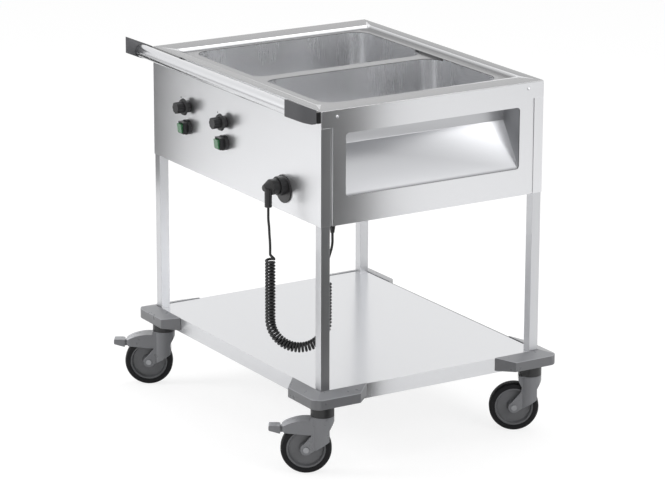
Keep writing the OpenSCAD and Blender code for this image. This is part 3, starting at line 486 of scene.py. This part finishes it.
grainDepth = {"steel": 0.00004, "moulded": 0.0002}
markLook = {"colour": 0.12, "roughness": 0.3}
ground = {"turn": (0, 0, 0), "roughness": 0.30, "lines": 0.02, "fineness": 1.0, "cloudiness": 0.05, "bump": 0.06}
steelLooks = {
    "satin_steel": {**ground, "colour": (0.70, 0.705, 0.72)},
    "end_steel": {**ground, "colour": (0.70, 0.705, 0.72), "turn": (0, 0, 90)},
    "deck_steel": {  # painted shade: darker level faces, and darker at the foot of the pressed step
        **ground, "colour": (0.72, 0.725, 0.74), "roughness": 0.26,
        "paintedShade": {"Flat Share": 0.34, "Above": 0.5, "From": 0.8985, "To": 0.9045, "Share From": 0.25, "Share To": 0.85}},
    "recess_steel": {  # painted shade in the crease where the pan meets the end panel
        **ground, "colour": (0.47, 0.475, 0.49), "turn": (0, 0, 90), "bump": 0.04,
        "paintedShade": {"Flat Share": 0.8, "Above": 0.5, "From": 0.4225, "To": 0.4262, "Share From": 1.0, "Share To": 0.35,
                  "Along": (1, 0, 0)}},
    "shelf_steel": {**ground, "colour": (0.62, 0.625, 0.64), "roughness": 0.20, "bump": 0.04},
    "well_steel": {  # painted shade: darker level rim, and walls painted darker towards the floor
        **ground, "colour": (0.88, 0.885, 0.90), "turn": (0, 90, 0), "roughness": 0.27, "lines": 0.008,
        "fineness": 0.8, "bump": 0.02,
        "paintedShade": {"Flat Share": 0.30, "Above": 0.85, "From": 0.70, "To": 0.89, "Share From": 0.62, "Share To": 0.98}},
    "leg_steel": {**ground, "colour": (0.56, 0.565, 0.58), "turn": (0, 90, 0), "roughness": 0.32},
    "bright_steel": {**ground, "colour": (0.62, 0.625, 0.64), "roughness": 0.22, "bump": 0.08},
    "axle_steel": {**ground, "colour": (0.30, 0.305, 0.315), "roughness": 0.34, "bump": 0.08},
    "heater_metal": {**ground, "colour": (0.20, 0.21, 0.22), "turn": (0, 0, 90), "roughness": 0.5,
                     "fineness": 0.6, "cloudiness": 0.2, "bump": 0.3},
}
casterPlastic = {"roughness": 0.28, "marks": 0.15, "grainSize": 1300.0, "bump": 0.04, "gloss": 0.6}
mouldedLooks = {
    "grey_plastic": {"colour": (0.105, 0.106, 0.112), "roughness": 0.30, "marks": 0.35, "grainSize": 1100.0,
                     "bump": 0.2, "gloss": 0.5},
    # Caster and bumper mouldings get painted highlights on upward faces and rounded edges
    "caster_grey": {**casterPlastic, "colour": (0.165, 0.168, 0.178), "edgeHighlight": 1.4},
    "bumper_grey": {**casterPlastic, "colour": (0.125, 0.127, 0.134), "edgeHighlight": 1.5},
    "rim_grey": {"colour": (0.125, 0.127, 0.133), "roughness": 0.32, "marks": 0.35, "grainSize": 1300.0,
                 "bump": 0.15, "gloss": 0.45},
    "tyre_rubber": {"colour": (0.008, 0.008, 0.009), "roughness": 0.55, "marks": 0.6, "grainSize": 700.0,
                    "bump": 0.3, "gloss": 0.2},
    "black_plastic": {"colour": (0.010, 0.010, 0.011), "roughness": 0.34, "marks": 0.3, "grainSize": 1500.0,
                      "bump": 0.12, "gloss": 0.5},
    "cord_rubber": {"colour": (0.010, 0.010, 0.011), "roughness": 0.45, "marks": 0.4, "grainSize": 1600.0,
                    "bump": 0.1, "gloss": 0.45},
    "inner_plastic": {"colour": (0.45, 0.43, 0.37), "roughness": 0.5, "marks": 0.3, "grainSize": 900.0,
                      "bump": 0.2, "gloss": 0.4},
}
lens = {"dark": (0.008, 0.06, 0.018, 1), "light": (0.02, 0.20, 0.06, 1), "grainSize": 600.0, "roughness": 0.12,
        "coat": 0.6, "coatRoughness": 0.05}


# Translucent green of the switches, lit from behind
def lensMaterial():
    material, tree, surface, coordinates = newMaterial("green_lens")
    mould = put(tree, "ShaderNodeGroup", node_tree=mouldedSurface)
    mould.inputs["Grain Size"].default_value = lens["grainSize"]
    colour = put(tree, "ShaderNodeMix", data_type="RGBA")
    colour.inputs["A"].default_value = lens["dark"]
    colour.inputs["B"].default_value = lens["light"]
    shade = put(tree, "ShaderNodeMath", operation="ADD")
    shade.inputs[1].default_value = noiseMiddle
    join(tree, (coordinates.outputs["Object"], mould.inputs["Vector"]), (mould.outputs["Marks"], shade.inputs[0]),
         (shade.outputs[0], colour.inputs["Factor"]), (colour.outputs["Result"], surface.inputs["Base Color"]))
    surface.inputs["Roughness"].default_value = lens["roughness"]
    surface.inputs["Coat Weight"].default_value = lens["coat"]
    surface.inputs["Coat Roughness"].default_value = lens["coatRoughness"]
    return material


materials = {name: steelMaterial(name, look) for name, look in steelLooks.items()}
materials.update({name: mouldedMaterial(name, look) for name, look in mouldedLooks.items()})
materials["green_lens"] = lensMaterial()
slotOfNode = {part["node"]: part["material_slot"] for part in frame["record"]["subparts"]}
finishOf = {  # finishes that differ from the record's slot, by the start of a node's name
    "left_panel": "end_steel", "right_panel": "end_steel", "side_recess": "recess_steel", "lower_shelf": "shelf_steel",
    "axle_": "axle_steel", "bumper_": "bumper_grey", "caster_stems": "black_plastic",
}


# The value whose key begins a node's name
def byStart(table, name, otherwise=None):
    return next((value for start, value in table.items() if name.startswith(start)), otherwise)


def dress(piece, material):
    piece.data.materials.clear()
    piece.data.materials.append(materials[material])
    return piece


print("materials made:", len(materials))


# Widths of the rounded edges, by the start of a node's name
edgeRounding = {
    "top_deck": 0.0012, "well_divider": 0.0006, "front_panel": 0.0007, "rear_panel": 0.0007, "left_panel": 0.0006,
    "right_panel": 0.0006, "side_recess": 0.002, "lower_shelf": 0.0007, "leg_": 0.0016, "handle_bracket_": 0.0022,
    "bracket_strips": 0.001, "bumper_": 0.003, "knob_": 0.0008, "switch_housing_": 0.0012, "rocker_": 0.001,
    "parking_socket": 0.0012, "cable_gland": 0.0005, "caster_stems": 0.0006, "fork_": 0.002, "wheel_": 0.0008,
    "axle_": 0.0006, "brake_pedal_": 0.0015, "handle_tube": 0.0004, "panel_screws": 0.0003,
}
roundedPieces = 0
for name, node in nodes.items():
    if name.startswith("cord_"):
        continue
    finish = byStart(finishOf, name, slotOfNode[name])
    dress(node, finish)
    width = byStart(edgeRounding, name)
    if width:
        dress(softened(name, width), finish)
        roundedPieces += 1
dress(cord, "cord_rubber")
dress(bpy.data.objects["mains_plugSoft"], "black_plastic")
print("edges rounded:", roundedPieces)


# Printed marks beside the knobs
panelMarks = {
    "x": (-0.252, -0.065), "front": -0.286, "forward": 0.0001, "z": 0.801, "radius": 0.0022, "thickness": 0.0003,
    "sides": 24,
}


def makeMarks():
    for i, x in enumerate(panelMarks["x"]):
        bpy.ops.object.select_all(action="DESELECT")
        bpy.ops.mesh.primitive_cylinder_add(
            vertices=panelMarks["sides"], radius=panelMarks["radius"], depth=panelMarks["thickness"],
            location=(x, panelMarks["front"] - panelMarks["forward"], panelMarks["z"]), rotation=(pi / 2, 0, 0))
        mark = bpy.context.object
        mark.name = "panelMark" + str(i)
        applyPlace(mark)
        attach(mark, bodyOfNode["front_panel"])
        dress(mark, "grey_plastic")


makeMarks()


# Studio: pale floor, white surroundings, soft lamps, and dark cards that only the steel reflects
studio = {
    "floorSize": 60, "floorSeen": 0.80, "floorSeenColour": 0.26, "floorColour": 0.90, "floorShine": 0.12,
    "worldSoft": 0.60, "worldShine": 1.12, "cardColour": 0.02, "lampsAimAt": (0, 0, 0.55),
}
darkCards = {
    "leftCard": {"place": (-0.80, -0.44, 0.72), "turn": (0, 90, 0), "size": (0.60, 0.26)},
    "rightCard": {"place": (0.80, -0.13, 0.50), "turn": (0, 90, 0), "size": (1.0, 0.44)},
}


def makeFloor():
    bpy.ops.object.select_all(action="DESELECT")
    bpy.ops.mesh.primitive_plane_add(size=studio["floorSize"], location=(0, 0, 0))
    floor = bpy.context.object
    floor.name = "studioFloor"
    material = bpy.data.materials.new("paleFloor")
    material.use_nodes = True
    tree = material.node_tree
    tree.nodes.clear()
    path = tree.nodes.new("ShaderNodeLightPath")
    shine = put(tree, "ShaderNodeMath", operation="MULTIPLY")
    shine.inputs[1].default_value = studio["floorShine"]
    mixed = tree.nodes.new("ShaderNodeMixShader")
    out = tree.nodes.new("ShaderNodeOutputMaterial")
    unseen = tree.nodes.new("ShaderNodeBsdfPrincipled")
    seen = tree.nodes.new("ShaderNodeBsdfPrincipled")
    for surface, shade in ((unseen, studio["floorColour"]), (seen, studio["floorSeenColour"])):
        surface.inputs["Base Color"].default_value = (shade, shade, shade, 1)
        surface.inputs["Roughness"].default_value = 1.0
        surface.inputs["Specular IOR Level"].default_value = 0.0
        surface.inputs["Emission Color"].default_value = (1, 1, 1, 1)
    seen.inputs["Emission Strength"].default_value = studio["floorSeen"]
    join(tree, (path.outputs["Is Glossy Ray"], shine.inputs[0]), (shine.outputs[0], unseen.inputs["Emission Strength"]),
         (path.outputs["Is Camera Ray"], mixed.inputs[0]), (unseen.outputs[0], mixed.inputs[1]),
         (seen.outputs[0], mixed.inputs[2]), (mixed.outputs[0], out.inputs[0]))
    floor.data.materials.append(material)


def makeCards():
    black = bpy.data.materials.new("darkCard")
    black.use_nodes = True
    surface = black.node_tree.nodes["Principled BSDF"]
    surface.inputs["Base Color"].default_value = (*[studio["cardColour"]] * 3, 1)
    surface.inputs["Roughness"].default_value = 1.0
    for name, card in darkCards.items():
        bpy.ops.object.select_all(action="DESELECT")
        bpy.ops.mesh.primitive_plane_add(size=1, location=card["place"], rotation=[radians(a) for a in card["turn"]])
        piece = bpy.context.object
        piece.name = name
        piece.scale = (*card["size"], 1)
        piece.data.materials.append(black)
        piece.visible_camera = False
        piece.visible_diffuse = False
        piece.visible_shadow = False
        piece.visible_transmission = False


def makeWorld():
    world = bpy.data.worlds.new("studioWorld")
    scene.world = world
    world.use_nodes = True
    tree = world.node_tree
    tree.nodes.clear()
    path = tree.nodes.new("ShaderNodeLightPath")
    seen = put(tree, "ShaderNodeMath", operation="MAXIMUM")
    through = put(tree, "ShaderNodeMath", operation="MAXIMUM")
    soft = put(tree, "ShaderNodeBackground", Strength=studio["worldSoft"])
    white = put(tree, "ShaderNodeBackground", Strength=studio["worldShine"])
    mixed = tree.nodes.new("ShaderNodeMixShader")
    out = tree.nodes.new("ShaderNodeOutputWorld")
    soft.inputs["Color"].default_value = (1, 1, 1, 1)
    white.inputs["Color"].default_value = (1, 1, 1, 1)
    join(tree, (path.outputs["Is Camera Ray"], seen.inputs[0]), (path.outputs["Is Glossy Ray"], seen.inputs[1]),
         (seen.outputs[0], through.inputs[0]), (path.outputs["Is Transmission Ray"], through.inputs[1]),
         (through.outputs[0], mixed.inputs[0]), (soft.outputs[0], mixed.inputs[1]), (white.outputs[0], mixed.inputs[2]),
         (mixed.outputs[0], out.inputs[0]))


lamps = {
    "keyLamp": {"place": (-2.0, -3.4, 2.6), "size": 1.4, "power": 70},
    "fillLamp": {"place": (4.0, 1.2, 2.4), "size": 2.4, "power": 50},
    "topLamp": {"place": (-0.6, 0.8, 4.2), "size": 3.0, "power": 60},
}


def makeLamps():
    target = Vector(studio["lampsAimAt"])
    for name, lamp in lamps.items():
        data = bpy.data.lights.new(name, "AREA")
        data.shape = "SQUARE"
        data.size = lamp["size"]
        data.energy = lamp["power"]
        holder = bpy.data.objects.new(name, data)
        scene.collection.objects.link(holder)
        holder.location = lamp["place"]
        holder.rotation_euler = (target - Vector(lamp["place"])).to_track_quat("-Z", "Y").to_euler()


makeFloor()
makeCards()
makeWorld()
makeLamps()
scene.view_settings.view_transform = "Standard"
print("studio made")
